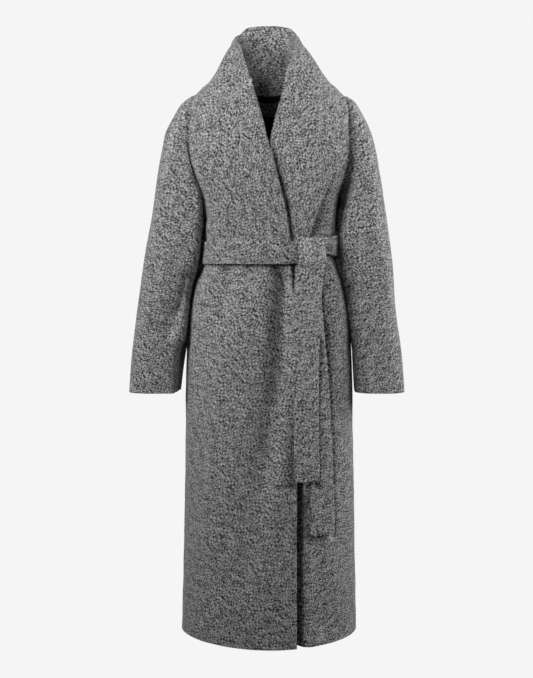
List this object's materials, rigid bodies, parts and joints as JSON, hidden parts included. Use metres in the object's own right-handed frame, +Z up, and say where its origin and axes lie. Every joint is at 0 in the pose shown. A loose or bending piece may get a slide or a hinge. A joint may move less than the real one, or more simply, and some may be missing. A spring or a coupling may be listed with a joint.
{
  "type": "wrap coat",
  "caption": "Long wrap coat in boucle wool with a wide shawl collar that stands at the back, turned back lapels, plain set-in sleeves, overlapping fronts and a belt tied at one side.",
  "frame": {"origin": "middle of the neck at the height of the shoulders, where the wearer holds the coat up", "axes": "+Z up; the front faces -Y; the wearer's left side is at +X"},
  "size_m": [0.603, 0.3059, 1.3488],
  "materials": {
    "wool": "thick salt and pepper grey boucle wool with a soft nap",
    "wool_inside": "the same wool, as the back neck facing",
    "tape": "dark navy ribbed tape",
    "lining": "black satin lining"
  },
  "bodies": {
    "root": {"back": "wool", "front_right": "wool", "front_left": "wool", "shawl_right": "wool", "shawl_left": "wool", "sleeve_right": "wool", "sleeve_left": "wool", "neck_facing": "wool_inside", "neck_tape": "tape", "lining": "lining", "belt_round": "wool", "belt_end_front": "wool", "belt_end_back": "wool"}
  },
  "joints": []
}
